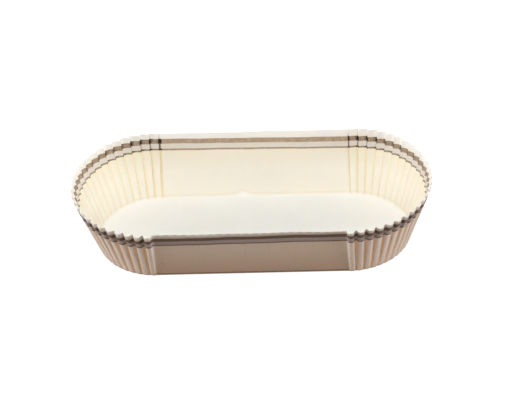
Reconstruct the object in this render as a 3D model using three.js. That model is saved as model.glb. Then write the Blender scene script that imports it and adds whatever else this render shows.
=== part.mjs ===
// An oval paper baking cup: one sheet pressed into a long dish with half-round ends.
// The floor is flat. The two long sides are plain leaning panels. Each half-round end is
// gathered into flutes, which take up the spare length of the flat blank. They start shallow
// at the floor and deepen as the wall rises.
// Millimetres, +Z up. X runs along the cup and Y across it. The origin is the middle of the
// floor's underside.
import * as THREE from "three";

// Driving dimensions. They give the outer face, and the paper's thickness lies inside it.
const FLOOR_HALF_WIDTH = 31.2; // also the radius of the floor's half-round ends
const PANEL_LENGTH = 100; // plain stretch of each long side, between the fluted ends
const CUP_HEIGHT = 36;
const WALL_LEAN = THREE.MathUtils.degToRad(16.8); // outwards from upright
const PAPER_THICKNESS = 0.15;
const FOLD_RADIUS = 1.2; // where the floor turns up into the wall
const FLUTES_PER_END = 26;
const FLUTE_DEPTH_AT_FLOOR = 0.3;
const FLUTE_DEPTH_AT_RIM = 2.6;

// How finely the sheet is divided.
const STEPS_PER_FLUTE = 6;
const STEPS_PER_PANEL = 4;
const FOLD_STEPS = 2;
const WALL_STEPS = 4;

// The wall's own lengths, measured up the outer face from the edge of the flat floor.
const FOLD_TURN = Math.PI / 2 - WALL_LEAN;
const FOLD_LENGTH = FOLD_RADIUS * FOLD_TURN;
const FOLD_OUT = FOLD_RADIUS * Math.sin(FOLD_TURN);
const FOLD_RISE = FOLD_RADIUS * (1 - Math.cos(FOLD_TURN));
const WALL_LENGTH = (CUP_HEIGHT - FOLD_RISE) / Math.cos(WALL_LEAN);

// The upright section at a distance up the sheet: how far it lies outside the flat floor, and
// how high. It is an arc at the fold and a straight leaning wall above it.
function section(along) {
  if (along <= FOLD_LENGTH) {
    const turned = along / FOLD_RADIUS;
    return { out: FOLD_RADIUS * Math.sin(turned), rise: FOLD_RADIUS * (1 - Math.cos(turned)) };
  }
  const up = along - FOLD_LENGTH;
  return {
    out: FOLD_OUT + up * Math.sin(WALL_LEAN),
    rise: FOLD_RISE + up * Math.cos(WALL_LEAN),
  };
}

// How far a flute's crest stands out of its groove. It grows evenly with the distance up the
// sheet, as the spare length of a round blank does.
function fluteDepth(along) {
  const share = along / (FOLD_LENGTH + WALL_LENGTH);
  return FLUTE_DEPTH_AT_FLOOR + (FLUTE_DEPTH_AT_RIM - FLUTE_DEPTH_AT_FLOOR) * share;
}

// The outline seen from above, anticlockwise, as stops. Each stop has the X of the point it is
// measured from, a direction out of the cup, and its place on the flute, from 0 in the groove
// to 1 on the crest. The panels lie level with the grooves.
function outlineStops() {
  const stops = [];
  const half = PANEL_LENGTH / 2;
  const stepsPerEnd = FLUTES_PER_END * STEPS_PER_FLUTE;
  for (const side of [1, -1]) {
    for (let i = 0; i < stepsPerEnd; i++) {
      const angle = Math.PI * (i / stepsPerEnd - side / 2);
      const crest = (1 - Math.cos((2 * Math.PI * i) / STEPS_PER_FLUTE)) / 2;
      stops.push({ from: side * half, outX: Math.cos(angle), outY: Math.sin(angle), crest });
    }
    for (let i = 0; i < STEPS_PER_PANEL; i++) {
      const from = side * (half - (PANEL_LENGTH * i) / STEPS_PER_PANEL);
      stops.push({ from, outX: 0, outY: side, crest: 0 });
    }
  }
  return stops;
}

// Distances up the sheet at which the wall is divided, from the floor's edge to the cut edge.
function wallDistances() {
  const distances = [];
  for (let i = 0; i < FOLD_STEPS; i++) {
    distances.push((FOLD_LENGTH * i) / FOLD_STEPS);
  }
  for (let i = 0; i <= WALL_STEPS; i++) {
    distances.push(FOLD_LENGTH + (WALL_LENGTH * i) / WALL_STEPS);
  }
  return distances;
}

// The sheet's outer face as an open surface: the floor's middle, then rows of points going up.
function outerFace(stops, distances) {
  const positions = [0, 0, 0];
  for (const along of distances) {
    const { out, rise } = section(along);
    const depth = fluteDepth(along);
    for (const { from, outX, outY, crest } of stops) {
      const reach = FLOOR_HALF_WIDTH + out + depth * crest;
      positions.push(from + reach * outX, reach * outY, rise);
    }
  }
  const faces = [];
  const count = stops.length;
  for (let i = 0; i < count; i++) {
    const next = (i + 1) % count;
    faces.push(0, 1 + next, 1 + i);
    for (let row = 0; row + 1 < distances.length; row++) {
      const low = 1 + row * count;
      const high = low + count;
      faces.push(low + i, low + next, high + next, low + i, high + next, high + i);
    }
  }
  const surface = new THREE.BufferGeometry();
  surface.setAttribute("position", new THREE.Float32BufferAttribute(positions, 3));
  surface.setIndex(faces);
  surface.computeVertexNormals();
  return surface;
}

// Closes the sheet: the same points moved in by the paper's thickness, square to the paper,
// with the cut edge round the rim between the two faces.
function thicken(surface, rimCount) {
  const outer = surface.getAttribute("position");
  const normals = surface.getAttribute("normal");
  const positions = Array.from(outer.array);
  const point = new THREE.Vector3();
  const normal = new THREE.Vector3();
  for (let i = 0; i < outer.count; i++) {
    point.fromBufferAttribute(outer, i);
    if (point.z === 0) {
      normal.set(0, 0, -1);
    } else {
      normal.fromBufferAttribute(normals, i);
    }
    point.addScaledVector(normal, -PAPER_THICKNESS);
    positions.push(point.x, point.y, point.z);
  }
  const faces = Array.from(surface.index.array);
  const inner = outer.count;
  for (let i = 0; i < surface.index.count; i += 3) {
    const [a, b, c] = surface.index.array.slice(i, i + 3);
    faces.push(inner + a, inner + c, inner + b);
  }
  const rim = outer.count - rimCount;
  for (let i = 0; i < rimCount; i++) {
    const here = rim + i;
    const next = rim + ((i + 1) % rimCount);
    faces.push(here, next, inner + next, here, inner + next, inner + here);
  }
  const solid = new THREE.BufferGeometry();
  solid.setAttribute("position", new THREE.Float32BufferAttribute(positions, 3));
  solid.setIndex(faces);
  solid.computeVertexNormals();
  return solid;
}

const stops = outlineStops();
const sheet = outerFace(stops, wallDistances());
const greaseproofPaper = new THREE.MeshStandardMaterial({
  color: 0xf3ead8,
  roughness: 0.75,
  metalness: 0,
});
const cup = new THREE.Mesh(thicken(sheet, stops.length), greaseproofPaper);
cup.name = "paper_cup";

const part = new THREE.Group();
part.name = "oval_paper_cup";
part.add(cup);

export default part;
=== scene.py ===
"""An oval paper baking cup: one sheet of greaseproof paper pressed into a long dish.

The sheet is worked out as a grid. One direction runs round the cup, and the other runs up the
sheet from the middle of the floor to the cut edge. Everything is in metres, in the frame of the
CAD model: X along the cup, Y across it, Z up, with the origin under the middle of the floor.
"""

import logging
import math
from dataclasses import dataclass, field
from enum import Enum
from typing import Any

import bmesh
import bpy
import numpy as np
from mathutils import Matrix, Vector

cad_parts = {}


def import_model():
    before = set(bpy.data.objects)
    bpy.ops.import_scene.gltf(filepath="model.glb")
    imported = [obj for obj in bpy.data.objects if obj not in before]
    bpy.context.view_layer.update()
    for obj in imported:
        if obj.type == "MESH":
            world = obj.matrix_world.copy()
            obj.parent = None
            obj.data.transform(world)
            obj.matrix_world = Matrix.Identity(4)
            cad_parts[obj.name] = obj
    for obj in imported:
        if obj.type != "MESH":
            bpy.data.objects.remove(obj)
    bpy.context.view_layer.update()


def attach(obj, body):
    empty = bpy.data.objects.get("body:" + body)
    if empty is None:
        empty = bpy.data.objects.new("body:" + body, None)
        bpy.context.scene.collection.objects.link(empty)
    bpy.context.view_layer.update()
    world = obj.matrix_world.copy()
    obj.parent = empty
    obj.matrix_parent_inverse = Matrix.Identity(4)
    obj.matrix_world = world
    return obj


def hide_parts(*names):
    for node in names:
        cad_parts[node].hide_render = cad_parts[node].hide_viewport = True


LOG = logging.getLogger("paper_cup")
MM = 0.001
PHOTO_WIDTH_PX = 512
SENSOR_MM = 36.0
UV_SPAN_MM = 40.0  # this much paper fills one unit of the UV map


class Face(Enum):
    """The two faces of the paper."""

    INSIDE = 0.0
    PRINTED = 1.0


def linear(hex_colour: str) -> tuple[float, float, float, float]:
    """Turns an sRGB hex colour into linear RGBA.

    Args:
        hex_colour: six hex digits, such as "f3ead8".

    Returns:
        Red, green, blue and alpha, each from 0 to 1.
    """
    channels = [int(hex_colour[i : i + 2], 16) / 255 for i in (0, 2, 4)]
    curve = [c / 12.92 if c <= 0.04045 else ((c + 0.055) / 1.055) ** 2.4 for c in channels]
    return (curve[0], curve[1], curve[2], 1.0)


def add_node(tree: bpy.types.NodeTree, kind: str, settings: dict[str, Any] | None = None,
             inputs: dict[Any, Any] | None = None) -> bpy.types.Node:
    """Adds one node with its settings and links.

    Args:
        tree: the node tree it goes into.
        kind: the node's type name.
        settings: properties of the node itself.
        inputs: socket name or number to a value, or to the output socket it is linked from.

    Returns:
        The new node.
    """
    node = tree.nodes.new(kind)
    for name, value in (settings or {}).items():
        setattr(node, name, value)
    for key, value in (inputs or {}).items():
        if isinstance(value, bpy.types.NodeSocket):
            tree.links.new(value, node.inputs[key])
        else:
            node.inputs[key].default_value = value
    return node


def empty_tree(owner: bpy.types.Material | bpy.types.World) -> bpy.types.NodeTree:
    """Gives a material or a world a node tree with nothing in it.

    Args:
        owner: the material or world.

    Returns:
        Its node tree.
    """
    owner.use_nodes = True
    owner.node_tree.nodes.clear()
    return owner.node_tree


def new_object(name: str, data: bpy.types.ID) -> bpy.types.Object:
    """Makes an object and puts it in the scene.

    Args:
        name: the object's name.
        data: its mesh, light or camera.

    Returns:
        The new object, at the origin.
    """
    made = bpy.data.objects.new(name, data)
    bpy.context.scene.collection.objects.link(made)
    return made


def smooth_noise(x: np.ndarray, wavelength: float, rng: np.random.Generator) -> np.ndarray:
    """A smooth random curve: five sine waves near one wavelength, with random phases.

    Args:
        x: where the curve is wanted.
        wavelength: the longest wave's length, in the same unit.
        rng: seeded random numbers.

    Returns:
        Values of about -1 to 1.
    """
    waves, spread, full_turn, likely_peak = 5, 0.45, 6.283, 2.0
    total = np.zeros_like(x)
    for k in range(waves):
        stretch = 1 + spread * k
        phase = rng.uniform(0, full_turn)
        total = total + np.sin(2 * np.pi * x * stretch / wavelength + phase) / stretch
    return total / likely_peak


@dataclass
class CupForm:
    """The cup's sizes, as the CAD model has them, and how finely its sheet is divided."""

    floor_half_width: float = 31.2 * MM
    panel_length: float = 100 * MM
    height: float = 36 * MM
    lean: float = math.radians(16.8)
    thickness: float = 0.15 * MM
    fold_radius: float = 1.2 * MM
    flutes_per_end: int = 26
    flute_depth_at_floor: float = 0.3 * MM
    flute_depth_at_rim: float = 2.6 * MM
    steps_per_flute: int = 24
    steps_per_panel: int = 80
    floor_shares: tuple[float, ...] = (1.0, 0.6, 0.3, 0.14, 0.06)  # of the half width, inwards
    fold_steps: int = 4
    wall_steps: int = 20

    @property
    def fold_turn(self) -> float:
        """The angle through which the floor turns up into the wall."""
        return math.pi / 2 - self.lean

    @property
    def fold_length(self) -> float:
        """The paper's length round the fold."""
        return self.fold_radius * self.fold_turn

    @property
    def wall_length(self) -> float:
        """The straight wall's length, from the fold to the cut edge."""
        rise = self.fold_radius * (1 - math.cos(self.fold_turn))
        return (self.height - rise) / math.cos(self.lean)

    def section(self, along: np.ndarray) -> tuple[np.ndarray, np.ndarray]:
        """The upright section: an arc at the fold, then a straight leaning wall.

        Args:
            along: distance up the outer face from the edge of the flat floor.

        Returns:
            How far each point lies outside the floor's edge, and how high.
        """
        turned = np.clip(along / self.fold_radius, 0, self.fold_turn)
        up = np.maximum(along - self.fold_length, 0)
        out = self.fold_radius * np.sin(turned) + up * math.sin(self.lean)
        rise = self.fold_radius * (1 - np.cos(turned)) + up * math.cos(self.lean)
        return out, rise

    def flute_depth(self, along: np.ndarray) -> np.ndarray:
        """How far a crest stands out of its groove: it grows evenly with the distance up.

        Args:
            along: distance up the outer face from the edge of the flat floor.

        Returns:
            The depth at each distance, and nothing on the floor.
        """
        share = np.maximum(along, 0) / (self.fold_length + self.wall_length)
        grown = self.flute_depth_at_rim - self.flute_depth_at_floor
        return np.where(along >= 0, self.flute_depth_at_floor + grown * share, 0.0)


@dataclass(frozen=True)
class FluteShape:
    """The flutes' shapes: round columns at the front, which turn into slanted pleats at the back.

    All are shares of a flute's pitch or of its full depth.
    """

    crest_place: float = 0.48  # from the panel's edge to the middle of a column's crest
    crest_width: float = 0.70  # measured half way down the flank
    flank_width: float = 0.08  # half of what the flank takes up
    roundness: float = 0.4  # how much lower the crest's shoulders are than its middle
    pleat_slant: float = 0.85  # how far a pleat's face recedes before its fold
    pleat_start: float = 4.0  # how many pleats the slant takes to grow to that
    pleat_first: float = 0.1  # the slant's share at the panel's edge
    pleat_notch: float = 0.30  # how much deeper the fold itself goes
    pleat_fold: float = 0.16  # how much of a pleat its fold takes up
    fold_reach: float = 0.9  # how far a fold's shade reaches from its middle, in fold widths
    fold_fade: float = 0.4  # and over how much of that it fades, in fold widths
    fold_open: float = 0.35  # how tight the folds still are far round the end
    face_shade: float = 0.15  # how shaded a pleat's whole face is
    face_ramp: float = 0.35  # how much that grows up to the next fold
    face_ramp_start: float = 0.55  # where on the face it starts to grow
    groove_fade: float = 0.06  # how much of a pitch a groove's edge takes up

    def column(self, place: np.ndarray) -> np.ndarray:
        """A round column: two hyperbolic tangent steps, up and down, times a parabola.

        Args:
            place: pitches from the front panel's edge.

        Returns:
            The share of the full depth.
        """
        off = np.abs((place - self.crest_place + 0.5) % 1 - 0.5)
        step = 0.5 - 0.5 * np.tanh((off - self.crest_width / 2) / self.flank_width)
        return step * (1 - self.roundness * (off / 0.5) ** 2)

    def pleat(self, place: np.ndarray) -> np.ndarray:
        """A fold, then a face that slants straight out to the next fold.

        In the fold, a squared sine bump is added to a smooth step back from the slant to nothing.
        The slant grows evenly over the first few pleats beside the panel.

        Args:
            place: pitches from the back panel's edge.

        Returns:
            The share of the full depth.
        """
        within = place % 1
        through = np.clip(within / self.pleat_fold, 0, 1)
        slant = self.pleat_slant * np.clip(self.pleat_first + place / self.pleat_start, 0, 1)
        face = slant * (within - self.pleat_fold) / (1 - self.pleat_fold)
        back = slant * (1 - through * through * (3 - 2 * through))
        bump = self.pleat_notch * np.sin(np.pi * through) ** 2
        return np.where(within < self.pleat_fold, back + bump, face)

    def fold_shading(self, place: np.ndarray) -> np.ndarray:
        """How much painted shade a fold gives: most in the fold itself, little on a pleat's face.

        The folds are tightest beside the panel, and open up exponentially round the end. A
        squared ramp leads up to each fold.

        Args:
            place: pitches from the back panel's edge.

        Returns:
            The share of the fold's painted shade at each station.
        """
        off = np.abs((place - self.pleat_fold / 2 + 0.5) % 1 - 0.5)
        tight = self.fold_open + (1 - self.fold_open) * np.exp(-place / self.pleat_start)
        fold = tight * np.clip((self.fold_reach - off / self.pleat_fold) / self.fold_fade, 0, 1)
        start = self.face_ramp_start
        ramp = np.clip((place % 1 - start) / (1 - start), 0, 1)
        return np.maximum(fold, self.face_shade + self.face_ramp * ramp**2)

    def groove(self, place: np.ndarray) -> np.ndarray:
        """Where the paper lies between two columns: 1 in the groove, 0 on the column or panel.

        Args:
            place: pitches from the front panel's edge.

        Returns:
            The share of the groove at each station.
        """
        off = np.abs((place - self.crest_place + 0.5) % 1 - 0.5)
        # The panel's own edge, before the first column, isn't a groove.
        between = np.clip((off - self.crest_width / 2) / self.groove_fade + 0.5, 0, 1)
        return between * (place > self.crest_place)


@dataclass
class Outline:
    """The stations round the cup, anticlockwise from the front end of the right-hand flutes.

    Each station keeps where it is measured from along X, its angle, its share of the flutes'
    full depth from 0 in a groove to 1 on a crest, how much painted shade its pleat's fold gives
    it, whether it lies in a groove between columns, the number of its flute, or -1 on a panel,
    and whether it is on one.
    """

    form: CupForm
    shape: FluteShape = field(default_factory=FluteShape)
    start_x: np.ndarray = field(init=False)
    angle: np.ndarray = field(init=False)
    crest: np.ndarray = field(init=False)
    fold_shading: np.ndarray = field(init=False)
    groove: np.ndarray = field(init=False)
    number: np.ndarray = field(init=False)
    panel: np.ndarray = field(init=False)

    def __post_init__(self) -> None:
        """Works out every station of both ends and both panels."""
        form = self.form
        half = form.panel_length / 2
        count = form.flutes_per_end * form.steps_per_flute
        place = np.arange(count) / form.steps_per_flute
        pitch = math.pi / form.flutes_per_end
        done = place / form.flutes_per_end
        across = np.arange(form.steps_per_panel) / form.steps_per_panel
        flat = np.zeros(form.steps_per_panel)
        names = ("start_x", "angle", "crest", "fold_shading", "groove", "number", "panel")
        parts: dict[str, list[np.ndarray]] = {name: [] for name in names}
        for side in (1, -1):
            base = -side * math.pi / 2
            from_front = place if side > 0 else form.flutes_per_end - place
            from_back = form.flutes_per_end - from_front
            back = done if side > 0 else 1 - done
            crests = (1 - back) * self.shape.column(from_front) + back * self.shape.pleat(from_back)
            parts["start_x"] += [np.full(count, side * half), side * half * (1 - 2 * across)]
            parts["angle"] += [base + pitch * place, flat + side * math.pi / 2]
            parts["crest"] += [crests, flat]
            parts["fold_shading"] += [self.shape.fold_shading(from_back) * np.minimum(1, 2 * back), flat]
            parts["groove"] += [self.shape.groove(from_front) * np.minimum(1, 2 - 2 * back), flat]
            first = 0 if side > 0 else form.flutes_per_end
            parts["number"] += [first + np.floor(place), flat - 1]
            parts["panel"] += [np.zeros(count), flat + 1]
        for name, stretches in parts.items():
            setattr(self, name, np.concatenate(stretches))
        self.number = self.number.astype(int)


@dataclass
class PaperSheet:
    """The whole sheet as one closed shell with a printed outer face and a plain inner one."""

    form: CupForm
    seed: int = 7
    row_spread: float = 1.15  # above 1, the wall's rows lie closer together near the floor
    panel_wave: float = 0.35 * MM  # how far a panel bellies in and out at the cut edge
    panel_wave_length: float = 90 * MM
    edge_dip: float = 0.35 * MM  # how far the cut edge dips below its full height
    edge_dip_length: float = 70 * MM
    end_radius: float = 40 * MM  # turns an angle round an end into a distance
    depth_spread: float = 0.07  # of a flute's depth
    flute_shift: float = 0.05  # how far a flute lies off its place, in pitches
    crease_x: float = -6.9 * MM  # a small pinch in the fold at the back
    crease_height: float = 1.2 * MM
    crease_width: float = 2.8 * MM
    crease_round: float = 0.25  # of its width, how much of the peak is rounded off
    crease_lean: float = 0.5  # of its height, how far the peak leans in
    sharp_angle: float = math.radians(75)  # what turns more than this, as the cut edge does, stays sharp
    print_turn: float = -0.011  # how far the print lies turned on the cup, in radians
    print_off: float = 0.25 * MM  # and how far it lies off the middle

    def distances(self) -> np.ndarray:
        """Distances up the sheet: less than nothing is floor, 0 is its edge.

        Returns:
            One distance for each row of the grid, from the middle of the floor to the rim.
        """
        form = self.form
        floor = -form.floor_half_width * np.array(form.floor_shares)
        fold = np.linspace(0, form.fold_length, form.fold_steps, endpoint=False)
        up = np.linspace(0, 1, form.wall_steps + 1) ** self.row_spread
        return np.concatenate([floor, fold, form.fold_length + form.wall_length * up])

    def outer_points(self, outline: Outline, along: np.ndarray) -> np.ndarray:
        """The outer face: rows up the sheet by stations round it.

        A point lies at its station's start on the X axis, plus the reach in the station's
        direction. The reach is the floor's half width, plus the section's, plus the crest's
        share of the flute's depth.

        Args:
            outline: the stations.
            along: distances up the sheet.

        Returns:
            An array of rows by stations by X, Y and Z.
        """
        form = self.form
        rng = np.random.default_rng(self.seed)
        out, rise = form.section(np.maximum(along, 0))
        depth = form.flute_depth(along)
        height_share = rise / form.height
        # Each flute has its own depth and shift. The last entry, number -1, is the panels'.
        flutes = 2 * form.flutes_per_end
        depth_of = np.append(1 - self.depth_spread * rng.uniform(0, 1, flutes), 0)
        most = self.flute_shift * math.pi / form.flutes_per_end
        shift_of = np.append(rng.uniform(-1, 1, flutes) * most, 0)
        reach = form.floor_half_width + np.minimum(along, 0)[:, None] + out[:, None]
        reach = reach + depth[:, None] * (outline.crest * depth_of[outline.number])[None, :]
        belly = np.sin(np.pi * np.clip(outline.start_x / form.panel_length + 0.5, 0, 1))
        wave = smooth_noise(outline.start_x, self.panel_wave_length, rng) * belly * outline.panel
        reach = reach - self.panel_wave * wave[None, :] * height_share[:, None] ** 2
        wander = shift_of[outline.number] * np.sin(np.pi * outline.crest) * height_share[:, None]
        angle = outline.angle[None, :] + wander
        x = outline.start_x[None, :] + reach * np.cos(angle)
        y = reach * np.sin(angle)
        turned = np.arctan2(np.sin(outline.angle), np.cos(outline.angle))
        around = turned * self.end_radius + outline.start_x
        dip = self.edge_dip * (1 + smooth_noise(around, self.edge_dip_length, rng)) / 2
        z = rise[:, None] - np.maximum(dip, 0)[None, :] * height_share[:, None] ** 3
        self.pinch(x, y, z, along, outline)
        return np.stack([x, y, z], axis=2)

    def pinch(self, x: np.ndarray, y: np.ndarray, z: np.ndarray, along: np.ndarray,
              outline: Outline) -> None:
        """Lifts the floor into a small peak at the back fold.

        The peak falls off exponentially across, and as a bell along the sheet.

        Args:
            x: the grid's X coordinates.
            y: its Y coordinates, which are changed.
            z: its Z coordinates, which are changed.
            along: distances up the sheet.
            outline: the stations.
        """
        back = outline.panel * (np.sin(outline.angle) > 0)
        off = np.hypot(x - self.crease_x, self.crease_round * self.crease_width)
        across = np.exp(-off / self.crease_width) * back[None, :]
        near = np.exp(-((along / self.crease_width) ** 2))[:, None]
        z += self.crease_height * across * near
        y -= self.crease_lean * self.crease_height * across * near

    def grid_faces(self, rows: int, columns: int) -> np.ndarray:
        """Quads between neighbouring rows and stations, wrapping round the cup.

        Args:
            rows: how many rows the grid has.
            columns: how many stations each row has.

        Returns:
            Four point numbers for each quad.
        """
        row, column = np.meshgrid(np.arange(rows - 1), np.arange(columns), indexing="ij")
        low = row * columns + column
        low_next = row * columns + (column + 1) % columns
        return np.stack([low, low_next, low_next + columns, low + columns], axis=2).reshape(-1, 4)

    def normals(self, points: np.ndarray) -> np.ndarray:
        """Unit directions out of the cup: the cross product of the grid's two slopes.

        Args:
            points: rows by stations by X, Y and Z.

        Returns:
            The same shape. Along the floor's middle line they are straight down.
        """
        no_length = 1e-15
        round_slope = np.roll(points, -1, axis=1) - np.roll(points, 1, axis=1)
        up_slope = np.gradient(points, axis=0)
        normal = np.cross(round_slope, up_slope)
        length = np.linalg.norm(normal, axis=2, keepdims=True)
        normal = np.divide(normal, length, out=np.zeros_like(normal), where=length > no_length)
        normal[0] = (0.0, 0.0, -1.0)
        return normal

    def build(self) -> bpy.types.Object:
        """Makes the closed shell with its UV map and its attributes.

        Returns:
            The cup's object, at the origin.
        """
        form = self.form
        outline = Outline(form)
        along = self.distances()
        outer = self.outer_points(outline, along)
        inner = outer - self.normals(outer) * form.thickness
        rows, columns = outer.shape[:2]
        sheet = self.grid_faces(rows, columns)
        count = rows * columns
        rim = (rows - 1) * columns + np.arange(columns)
        rim_next = (rows - 1) * columns + (np.arange(columns) + 1) % columns
        edge = np.stack([rim, rim_next, rim_next + count, rim + count], axis=1)
        faces = np.concatenate([sheet, sheet[:, ::-1] + count, edge])
        points = np.concatenate([outer.reshape(-1, 3), inner.reshape(-1, 3)])
        mesh = bpy.data.meshes.new("paper_sheet")
        mesh.from_pydata(points.tolist(), [], faces.tolist())
        self.add_sheet_map(mesh, outline, along, outer, count)
        cup = new_object("paper_sheet", mesh)
        self.close_floor(mesh)
        mesh.shade_smooth()
        mesh.set_sharp_from_angle(angle=self.sharp_angle)
        return cup

    def add_sheet_map(self, mesh: bpy.types.Mesh, outline: Outline, along: np.ndarray,
                      outer: np.ndarray, count: int) -> None:
        """Gives each corner its place on the flat sheet, and each point its attributes.

        The map's first number is the length of paper round the cup, measured rather more than
        a quarter of the way down the wall. The second is the distance down from the cut edge.
        Both are in units of 40 mm.

        Args:
            mesh: the cup's mesh.
            outline: the stations.
            along: distances up the sheet.
            outer: the outer points, rows by stations.
            count: how many points each face of the paper has.
        """
        rows, columns = outer.shape[:2]
        ring = outer[rows - 1 - self.form.wall_steps // 4]
        steps = np.linalg.norm(np.roll(ring, -1, axis=0) - ring, axis=1)
        length = np.concatenate([[0.0], np.cumsum(steps)])
        loops = np.empty(len(mesh.loops), dtype=np.int64)
        mesh.loops.foreach_get("vertex_index", loops)
        on_sheet = loops % count
        column = on_sheet % columns
        quad = column.reshape(-1, 4)
        # The last quad of a row ends where the row began, at the full length and not at nothing.
        wraps = (quad.max(axis=1) - quad.min(axis=1) > columns // 2)[:, None] & (quad == 0)
        round_length = np.where(wraps.reshape(-1), length[-1], length[column])
        down = along[-1] - along[on_sheet // columns]
        uv = np.stack([round_length, down], axis=1) / (UV_SPAN_MM * MM)
        mesh.uv_layers.new(name="sheet").data.foreach_set("uv", uv.astype(np.float32).reshape(-1))
        printed = mesh.attributes.new("printed_face", "FLOAT", "POINT")
        face = np.where(np.arange(2 * count) < count, Face.PRINTED.value, Face.INSIDE.value)
        printed.data.foreach_set("value", face.astype(np.float32))
        shift = (self.print_turn * outline.start_x - self.print_off) * np.sin(outline.angle) / MM
        back = outline.panel * (np.sin(outline.angle) > 0)
        off = np.abs(outline.start_x - self.crease_x) / self.crease_width
        named = {
            "crest": outline.crest, "fold_shading": outline.fold_shading, "groove": outline.groove,
            "print_shift_mm": shift, "crease": back * np.exp(-off),
        }
        for name, values in named.items():
            everywhere = np.broadcast_to(values, (2, rows, columns)).reshape(-1)
            attribute = mesh.attributes.new(name, "FLOAT", "POINT")
            attribute.data.foreach_set("value", everywhere.astype(np.float32))

    def close_floor(self, mesh: bpy.types.Mesh) -> None:
        """Merges the points that meet along the middle of the floor.

        Args:
            mesh: the cup's mesh, which is changed.
        """
        no_size, same_place = 1e-7, 1e-6
        work = bmesh.new()
        work.from_mesh(mesh)
        middle = [v for v in work.verts if abs(v.co.y) < no_size]
        bmesh.ops.remove_doubles(work, verts=middle, dist=same_place)
        bmesh.ops.dissolve_degenerate(work, edges=work.edges, dist=no_size)
        work.to_mesh(mesh)
        work.free()


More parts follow.
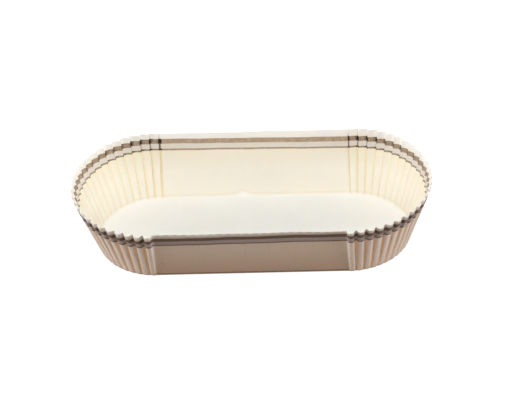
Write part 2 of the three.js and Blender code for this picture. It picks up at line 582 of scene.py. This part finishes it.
@dataclass(frozen=True)
class GreaseproofPaper:
    """Calendered greaseproof paper, cream and faintly translucent, printed on one face.

    Calendering presses the sheet between rollers, which leaves it smooth with a faint sheen.
    Its fibres give the eye a fine mottle, and light goes a little way into it. The print is a
    thick and a thin brown stripe below the cut edge. On the plain face the same stripes show
    through, paler and broken up, and darkened deep in a flute by a painted shadow in the fold.
    Much of the paper's tone is painted shade and light as well.
    """

    paper: str = "fefaf2"
    paper_deep: str = "fbf5ea"
    # Painted shade: the inner wall is the floor's paper, a touch darker and warmer.
    shaded_wall_inside: str = "fbf3e5"
    # Painted shade on the inner wall, towards the cut edge and just above the fold.
    upper_shade_inside: str = "f2e8d5"
    # Golden painted shade in the pleats' folds, inside.
    fold_shade_inside: str = "f1dcb2"
    margin_inside: str = "f0ebe5"
    between_inside: str = "dbd5cc"  # between the two stripes
    # The outer face is the same cream paper, painted tan, mostly as shade.
    shaded_wall_outside: str = "d4c8bc"
    # Painted shade towards the floor, outside. It is also the colour of the faint handling marks.
    low_shade_and_marks: str = "bca993"
    # A paler painted highlight on the flutes' crests, outside.
    crest_highlight: str = "e8dbd6"
    # A warm orange painted glow in the grooves between columns, outside: light through the paper.
    groove_glow: str = "f0cfaa"
    # A brown painted shadow along the fold at the floor, outside.
    fold_shade_outside: str = "6a4e38"
    # Painted shade: the printed face between the stripes, greyer and darker than the wall below.
    gap_shade_outside: str = "a39b99"
    ink: str = "5f4934"
    ink_thin: str = "6b523c"
    show_through: str = "886a4b"
    # A near black painted shadow deep in the pleats' folds, over the gap and the show-through.
    painted_fold_shadow: str = "2a1e14"
    # Faint tan dashes along the cut edge, outside.
    edge_dash: str = "b79d7c"
    speck: str = "6d4f30"
    margin_mm: float = 3.7  # from the cut edge to the thick stripe
    thick_mm: float = 2.7
    gap_mm: float = 2.8
    thin_mm: float = 1.0
    ink_blur_mm: float = 0.12  # how far the ink's edge fades to each side
    wander_mm: float = 0.9  # how far the stripes wander
    wander_length_mm: float = 18.0  # the length of one such wander
    wall_mm: float = 36.7  # from the cut edge to the fold
    # At the crease the floor's lighter tone is lifted up the wall, so the pinch stays clear of the
    # wall's painted shade.
    crease_mm: float = 2.8  # how high the floor's paper rises at the crease
    dash_pitch_mm: float = 4.6
    fibre_mm: float = 0.38  # clumps of fibres; single ones, ten times finer, can't be seen
    cloud_mm: float = 17.0  # the sheet's cloudy thicker and thinner patches
    mark_width_mm: float = 2 / 3  # a faint handling mark; real ones are finer
    mark_length_mm: float = 8.0
    mark_slant: float = math.radians(-28)
    speck_mm: float = 0.3  # a brown fibre speck's radius
    speck_gap_mm: float = 21.0  # and how far apart such specks lie

    def values(self, tree: bpy.types.NodeTree) -> dict[str, bpy.types.NodeSocket]:
        """Reads the sheet's attributes and its map, and adds the paper's patterns.

        Args:
            tree: the material's node tree.

        Returns:
            Each value's name and its socket. Distances down the wall are in mm from the cut
            edge.
        """
        names = ("printed_face", "print_shift_mm", "crest", "fold_shading", "groove", "crease")
        found = {
            name: add_node(tree, "ShaderNodeAttribute", {"attribute_name": name}).outputs["Fac"]
            for name in names
        }
        sheet = add_node(tree, "ShaderNodeUVMap", {"uv_map": "sheet"}).outputs[0]
        place = add_node(tree, "ShaderNodeTexCoord").outputs["Object"]
        mark_scale = (UV_SPAN_MM / self.mark_width_mm, UV_SPAN_MM / self.mark_length_mm, 1)
        slanted = add_node(
            tree, "ShaderNodeMapping",
            inputs={"Vector": sheet, "Rotation": (0, 0, self.mark_slant), "Scale": mark_scale},
        ).outputs[0]
        noises = {  # the coordinates, the scale, the detail and the roughness of each
            "wobble": (sheet, UV_SPAN_MM / self.wander_length_mm, 5.0, 0.5),
            "fibres": (place, 1 / (self.fibre_mm * MM), 4.0, 0.65),
            "clouds": (place, 1 / (self.cloud_mm * MM), 3.0, 0.5),
            "marks": (slanted, 1.0, 2.0, 0.5),
        }
        for name, (where, scale, detail, roughness) in noises.items():
            found[name] = add_node(
                tree, "ShaderNodeTexNoise",
                inputs={"Vector": where, "Scale": scale, "Detail": detail, "Roughness": roughness},
            ).outputs[0]
        found["off_speck"] = add_node(
            tree, "ShaderNodeTexVoronoi", {"voronoi_dimensions": "2D"},
            {"Vector": sheet, "Scale": UV_SPAN_MM / self.speck_gap_mm},
        ).outputs["Distance"]
        in_mm = add_node(
            tree, "ShaderNodeVectorMath", {"operation": "SCALE"}, {0: sheet, "Scale": UV_SPAN_MM}
        )
        split = add_node(tree, "ShaderNodeSeparateXYZ", inputs={0: in_mm.outputs[0]})
        found["down"] = split.outputs[1]
        sums = {  # the value, what it is multiplied by and what is added
            "lifted": ("crease", self.crease_mm, "down"),
            "turned": ("print_shift_mm", 1.0, "down"),
            "print_down": ("wobble", self.wander_mm, "turned"),
        }
        for name, (value, times, plus) in sums.items():
            found[name] = add_node(
                tree, "ShaderNodeMath", {"operation": "MULTIPLY_ADD"},
                {0: found[value], 1: times, 2: found[plus]},
            ).outputs[0]
        turns = add_node(
            tree, "ShaderNodeMath", {"operation": "MULTIPLY"},
            {0: split.outputs[0], 1: 2 * math.pi / self.dash_pitch_mm},
        )
        found["dash_wave"] = add_node(
            tree, "ShaderNodeMath", {"operation": "SINE"}, {0: turns.outputs[0]}
        ).outputs[0]
        return found

    def masks(self, tree: bpy.types.NodeTree,
              values: dict[str, bpy.types.NodeSocket]) -> dict[str, bpy.types.NodeSocket]:
        """Works out where each coat of colour lies.

        A rise runs evenly from its low level to its high one. A band has its level between two
        distances and fades softly to nothing at both.

        Args:
            tree: the material's node tree.
            values: what the masks follow.

        Returns:
            Each mask's name and its socket.
        """
        wall = self.wall_mm
        gap_start = self.margin_mm + self.thick_mm
        speck = self.speck_mm / self.speck_gap_mm
        rises = {  # the value followed, where it starts and ends, the low and the high level
            # Where the inner wall's painted shade lies. It is lifted at the crease.
            "wall": ("lifted", wall + 0.6, wall - 0.6, 0.0, 1.0),
            # Painted shade that grows towards the cut edge.
            "high": ("down", 0.6 * wall, 0.25 * wall, 0.0, 1.0),
            # Painted shade that deepens towards the floor.
            "low": ("down", 0.4 * wall, wall, 0.0, 1.0),
            # Where the folds' golden painted shade lies, inside.
            "in_fold": ("fold_shading", 0.16, 0.75, 0.0, 0.75),
            # Where the crests' painted highlight lies.
            "crest_lit": ("crest", 0.15, 0.65, 0.0, 0.85),
            # Where the grooves' painted glow lies.
            "grooved": ("groove", 0.0, 1.0, 0.0, 0.7),
            "marked": ("marks", 0.6, 0.75, 0.0, 0.6),
            "specked": ("off_speck", 1.5 * speck, 0.5 * speck, 0.0, 0.6),
            # Painted shade over the margin, from the cut edge to the thick stripe, weaker inside.
            "margin_shade": ("print_down", 0.8, self.margin_mm, 0.0, 0.9),
            "margin_shade_by_face": ("printed_face", 0.0, 1.0, 0.35, 1.0),
            "fold_shade": ("fold_shading", 0.5, 1.0, 0.0, 0.8),
            # Where the show-through ink gets the folds' painted shadow.
            "fold_shadow_ink": ("fold_shading", 0.08, 0.55, 0.0, 1.0),
            "broken": ("fibres", 0.42, 0.58, 0.5, 1.0),
            # The dashes along the edge.
            "dash": ("dash_wave", -0.15, 0.25, 0.0, 1.0),
        }
        bands = {  # the distance followed, where the band starts, its width and its level
            # A band of painted shade just above the fold.
            "shade_above_fold": ("lifted", wall - 1.8, 1.2, 0.5),
            # A painted shadow along the fold, outside.
            "fold_edge_shade": ("down", wall - 1.2, 1.0, 0.75),
            "margin": ("print_down", -1.0, self.margin_mm + 1.0, 1.0),
            "thick": ("print_down", self.margin_mm, self.thick_mm, 1.0),
            "gap": ("print_down", gap_start, self.gap_mm, 1.0),
            "thin": ("print_down", gap_start + self.gap_mm, self.thin_mm, 1.0),
            # The narrow line at the cut edge where the dashes lie.
            "dash_line": ("down", 0.35, 0.5, 0.6),
        }
        found = {}
        for name, (value, start, end, low, high) in rises.items():
            found[name] = add_node(
                tree, "ShaderNodeMapRange",
                inputs={
                    "Value": values[value], "From Min": start, "From Max": end,
                    "To Min": low, "To Max": high,
                },
            ).outputs["Result"]
        for name, (value, start, width, level) in bands.items():
            half = width / 2
            off = add_node(
                tree, "ShaderNodeMath", {"operation": "SUBTRACT"},
                {0: values[value], 1: start + half},
            )
            away = add_node(tree, "ShaderNodeMath", {"operation": "ABSOLUTE"}, {0: off.outputs[0]})
            found[name] = add_node(
                tree, "ShaderNodeMapRange", {"interpolation_type": "SMOOTHSTEP"},
                {
                    "Value": away.outputs[0], "From Min": half + self.ink_blur_mm,
                    "From Max": half - self.ink_blur_mm, "To Max": level,
                },
            ).outputs["Result"]
        return found

    def coat(self, tree: bpy.types.NodeTree, under: str | bpy.types.NodeSocket,
             over: str | bpy.types.NodeSocket, *masks: bpy.types.NodeSocket) -> bpy.types.NodeSocket:
        """Lays one colour over another, as far as all of its masks let it.

        Args:
            tree: the material's node tree.
            under: the colour that is there, as hex digits or a socket.
            over: the colour that is laid, likewise.
            masks: how much of it is laid. They are multiplied.

        Returns:
            The result's socket.
        """
        share = masks[0]
        for mask in masks[1:]:
            share = add_node(
                tree, "ShaderNodeMath", {"operation": "MULTIPLY"}, {0: share, 1: mask}
            ).outputs[0]
        low, high = (linear(paint) if isinstance(paint, str) else paint for paint in (under, over))
        node = add_node(tree, "ShaderNodeMix", {"data_type": "RGBA"}, {0: share, 6: low, 7: high})
        return node.outputs[2]

    def toned(self, tree: bpy.types.NodeTree, values: dict[str, bpy.types.NodeSocket],
              masks: dict[str, bpy.types.NodeSocket]) -> bpy.types.NodeSocket:
        """Tones the bare sheet, with painted shade and light: warm cream inside, golden in its folds,
        and tan outside.

        Inside, the wall is painted a touch darker than the floor, more towards its top and just above
        the fold, and the folds get a golden painted shade. Outside, the tan is mostly painted shade
        on the same cream paper, and it deepens towards the floor. The crests of the flutes get a paler
        painted highlight, the grooves between them a warm orange painted glow, and the fold at the
        floor a brown painted shadow. A few faint slanting handling marks and brown fibre specks are
        spread over it.

        Args:
            tree: the material's node tree.
            values: the sheet's attributes and patterns.
            masks: where each coat lies.

        Returns:
            The unprinted paper's colour.
        """
        wall, printed = masks["wall"], values["printed_face"]
        inside = self.coat(tree, self.paper, self.paper_deep, values["clouds"])
        # Painted shade on the inner wall.
        inside = self.coat(tree, inside, self.shaded_wall_inside, wall)
        # Painted shade towards the cut edge and just above the fold.
        inside = self.coat(tree, inside, self.upper_shade_inside, masks["high"])
        inside = self.coat(tree, inside, self.upper_shade_inside, masks["shade_above_fold"])
        # Golden painted shade in the folds.
        inside = self.coat(tree, inside, self.fold_shade_inside, masks["in_fold"], wall)
        # Outside, painted shade deepens towards the floor.
        outside = self.coat(tree, self.shaded_wall_outside, self.low_shade_and_marks, masks["low"], wall)
        # Painted shadow along the fold at the floor.
        outside = self.coat(tree, outside, self.fold_shade_outside, masks["fold_edge_shade"])
        # Painted highlight on the crests.
        outside = self.coat(tree, outside, self.crest_highlight, masks["crest_lit"], wall)
        # Painted glow in the grooves.
        outside = self.coat(tree, outside, self.groove_glow, masks["grooved"], wall)
        colour = self.coat(tree, inside, outside, printed)
        # Faint handling marks, in the colour of the painted shade near the floor.
        colour = self.coat(tree, colour, self.low_shade_and_marks, masks["marked"], printed)
        return self.coat(tree, colour, self.speck, masks["specked"], printed)

    def printed(self, tree: bpy.types.NodeTree, colour: bpy.types.NodeSocket,
                values: dict[str, bpy.types.NodeSocket],
                masks: dict[str, bpy.types.NodeSocket]) -> bpy.types.NodeSocket:
        """Lays the stripes over the paper, solid outside and broken up inside, with painted shade.

        Outside, the margin keeps the paper's lighter tone at the cut edge, a painted light, and
        painted shade darkens it towards the thick stripe, more faintly inside too. The gap between
        the stripes is a greyer painted shade outside, and inside the folds get a near black painted
        shadow. Faint tan dashes lie along the edge, outside.

        Args:
            tree: the material's node tree.
            colour: the unprinted paper's colour.
            values: the sheet's attributes and patterns.
            masks: where each coat lies.

        Returns:
            The printed paper's colour.
        """
        face, fold_shadow_share = values["printed_face"], masks["fold_shadow_ink"]
        # Outside, the margin is the plain paper colour, lighter than the tan painted shade: painted
        # light at the cut edge.
        margin = self.coat(tree, self.margin_inside, self.paper, face)
        colour = self.coat(tree, colour, margin, masks["margin"])
        # Inside, the gap between the stripes gets a near black painted shadow deep in the folds.
        between = self.coat(tree, self.between_inside, self.painted_fold_shadow, masks["fold_shade"])
        # Outside, the gap gets a greyer painted shade.
        between = self.coat(tree, between, self.gap_shade_outside, face)
        # Painted shade over the margin, darkening from the cut edge to the thick stripe.
        margin_shade = (masks["margin"], masks["margin_shade"], masks["margin_shade_by_face"])
        colour = self.coat(tree, colour, between, *margin_shade)
        colour = self.coat(tree, colour, between, masks["gap"])
        solid = add_node(tree, "ShaderNodeMath", {"operation": "MAXIMUM"}, {0: face, 1: fold_shadow_share})
        cover = add_node(
            tree, "ShaderNodeMix", {"data_type": "FLOAT"},
            {0: solid.outputs[0], 2: masks["broken"], 3: 1.0},
        ).outputs[0]
        # Inside, the show-through ink gets the same painted shadow in the folds, where it isn't broken
        # up.
        ink_inside = self.coat(tree, self.show_through, self.painted_fold_shadow, fold_shadow_share)
        for stripe, ink_outside in (("thick", self.ink), ("thin", self.ink_thin)):
            ink = self.coat(tree, ink_inside, ink_outside, face)
            colour = self.coat(tree, colour, ink, masks[stripe], cover)
        # Faint tan dashes along the cut edge, outside.
        edge_dashes = (masks["dash"], face, masks["dash_line"])
        return self.coat(tree, colour, self.edge_dash, *edge_dashes)

    def material(self) -> bpy.types.Material:
        """Builds the printed paper's material.

        Returns:
            The material, which reads the sheet's UV map and attributes.
        """
        material = bpy.data.materials.new("printed_greaseproof_paper")
        tree = empty_tree(material)
        values = self.values(tree)
        masks = self.masks(tree, values)
        colour = self.printed(tree, self.toned(tree, values, masks), values, masks)
        # The fibres stand up by no more than a twentieth of a millimetre, to break up the sheen.
        bump = add_node(
            tree, "ShaderNodeBump",
            inputs={"Strength": 0.25, "Distance": 0.05 * MM, "Height": values["fibres"]},
        ).outputs[0]
        shader = add_node(
            tree, "ShaderNodeBsdfPrincipled",
            inputs={
                "Base Color": colour,
                "Roughness": 0.62,
                "IOR": 1.45,
                "Specular IOR Level": 0.35,
                "Subsurface Weight": 0.35,
                "Subsurface Radius": (1.0, 0.62, 0.34),
                "Subsurface Scale": 0.6 * MM,
                "Normal": bump,
            },
        )
        add_node(tree, "ShaderNodeOutputMaterial", inputs={"Surface": shader.outputs[0]})
        return material


@dataclass
class PaperCup:
    """The cup: its sheet, in place of the CAD solid, in its printed paper."""

    form: CupForm = field(default_factory=CupForm)
    paper: GreaseproofPaper = field(default_factory=GreaseproofPaper)

    def build(self) -> bpy.types.Object:
        """Builds the sheet, dresses it and puts it in the CAD solid's place.

        Returns:
            The dressed cup's object.
        """
        cup = PaperSheet(self.form).build()
        cup.data.materials.append(self.paper.material())
        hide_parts("paper_cup")
        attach(cup, "root")
        triangles = sum(len(p.vertices) - 2 for p in cup.data.polygons)
        LOG.info("%s: %d triangles", cup.name, triangles)
        return cup


@dataclass(frozen=True)
class SoftLamp:
    """One soft square lamp: where it hangs, its side in metres and its power in watts."""

    name: str
    place: tuple[float, float, float]
    side: float
    power: float

    def hang(self) -> None:
        """Hangs the lamp and points it at the cup."""
        light = bpy.data.lights.new(self.name, "AREA")
        light.size = self.side
        light.energy = self.power
        lamp = new_object(self.name, light)
        lamp.location = self.place
        lamp.rotation_euler = (-Vector(self.place)).to_track_quat("-Z", "Y").to_euler()


@dataclass
class Studio:
    """A plain white floor, soft lamps and the camera."""

    azimuth: float = math.radians(3.8)
    elevation: float = math.radians(38.5)
    roll: float = math.radians(-3.7)
    distance: float = 1.934
    farthest_seen: float = 50.0
    focal_px: float = 3680.0
    target: tuple[float, float, float] = (1.6 * MM, 0.0, 17.4 * MM)
    floor_half_side: float = 6.0
    floor_height: float = -0.02 * MM  # just below the cup, so that the two never coincide
    floor_seen: str = "a0a0a0"
    floor_bounce: str = "7f7267"
    floor_glow: float = 0.85
    surroundings: str = "f4f1ee"
    surroundings_strength: float = 0.18
    lamps: tuple[SoftLamp, ...] = (
        SoftLamp("overhead", (0.0, -0.69, 1.36), 0.9, 16.8),
        SoftLamp("left", (-1.38, -0.25, 0.16), 0.3, 9.6),
        SoftLamp("right", (1.38, -0.25, 0.16), 0.3, 9.6),
        SoftLamp("back", (0.0, 1.2, 0.8), 0.6, 8.0),
    )

    def floor(self) -> None:
        """Lays the floor. It looks white, and gives little light back to the cup's outside."""
        mesh = bpy.data.meshes.new("studio_floor")
        size, low = self.floor_half_side, self.floor_height
        corners = [(-size, -size, low), (size, -size, low), (size, size, low), (-size, size, low)]
        mesh.from_pydata(corners, [], [(0, 1, 2, 3)])
        # Matt paint scatters light evenly, with no sheen. What the camera sees of it glows a
        # little, so that it is white.
        material = bpy.data.materials.new("painted_floor")
        tree = empty_tree(material)
        ray = add_node(tree, "ShaderNodeLightPath")
        seen = ray.outputs["Is Camera Ray"]
        for kind in ("Is Glossy Ray", "Is Transmission Ray"):
            seen = add_node(
                tree, "ShaderNodeMath", {"operation": "MAXIMUM"}, {0: seen, 1: ray.outputs[kind]}
            ).outputs[0]
        paint = add_node(
            tree, "ShaderNodeMix", {"data_type": "RGBA"},
            {0: seen, 6: linear(self.floor_bounce), 7: linear(self.floor_seen)},
        )
        diffuse = add_node(tree, "ShaderNodeBsdfDiffuse", inputs={"Color": paint.outputs[2]})
        glow = add_node(
            tree, "ShaderNodeMath", {"operation": "MULTIPLY"}, {0: seen, 1: self.floor_glow}
        )
        lit = add_node(
            tree, "ShaderNodeEmission", inputs={"Color": (1, 1, 1, 1), "Strength": glow.outputs[0]}
        )
        both = add_node(tree, "ShaderNodeAddShader", inputs={0: diffuse.outputs[0], 1: lit.outputs[0]})
        add_node(tree, "ShaderNodeOutputMaterial", inputs={"Surface": both.outputs[0]})
        mesh.materials.append(material)
        new_object("studio_floor", mesh)

    def world(self) -> None:
        """Sets an even, dim surrounding light, white where the camera sees past the floor."""
        world = bpy.data.worlds.new("studio")
        bpy.context.scene.world = world
        tree = empty_tree(world)
        ray = add_node(tree, "ShaderNodeLightPath")
        dim = add_node(
            tree, "ShaderNodeBackground",
            inputs={"Color": linear(self.surroundings), "Strength": self.surroundings_strength},
        )
        white = add_node(
            tree, "ShaderNodeBackground", inputs={"Color": (1, 1, 1, 1), "Strength": 1.0}
        )
        seen = add_node(
            tree, "ShaderNodeMixShader",
            inputs={0: ray.outputs["Is Camera Ray"], 1: dim.outputs[0], 2: white.outputs[0]},
        )
        add_node(tree, "ShaderNodeOutputWorld", inputs={0: seen.outputs[0]})

    def camera(self) -> None:
        """Places the camera round its target, by azimuth, elevation and roll."""
        data = bpy.data.cameras.new("camera")
        data.sensor_width = SENSOR_MM
        data.lens = self.focal_px / PHOTO_WIDTH_PX * SENSOR_MM
        data.clip_end = self.farthest_seen
        camera = new_object("camera", data)
        az, el = self.azimuth, self.elevation
        ahead = Vector((-math.sin(az) * math.cos(el), math.cos(az) * math.cos(el), -math.sin(el)))
        right = ahead.cross(Vector((0, 0, 1))).normalized()
        up = right.cross(ahead)
        right_rolled = math.cos(self.roll) * right + math.sin(self.roll) * up
        up_rolled = -math.sin(self.roll) * right + math.cos(self.roll) * up
        place = Vector(self.target) - ahead * self.distance
        axes = Matrix((right_rolled, up_rolled, -ahead)).transposed().to_4x4()
        camera.matrix_world = Matrix.Translation(place) @ axes
        bpy.context.scene.camera = camera

    def build(self) -> None:
        """Sets up the floor, the lamps, the surrounding light and the camera."""
        self.floor()
        for lamp in self.lamps:
            lamp.hang()
        self.world()
        self.camera()
        bpy.context.scene.view_settings.view_transform = "Standard"


def main() -> None:
    """Builds the cup and the studio."""
    logging.basicConfig(level=logging.INFO, format="%(name)s: %(message)s")
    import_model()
    PaperCup().build()
    Studio().build()


if __name__ == "__main__":
    main()
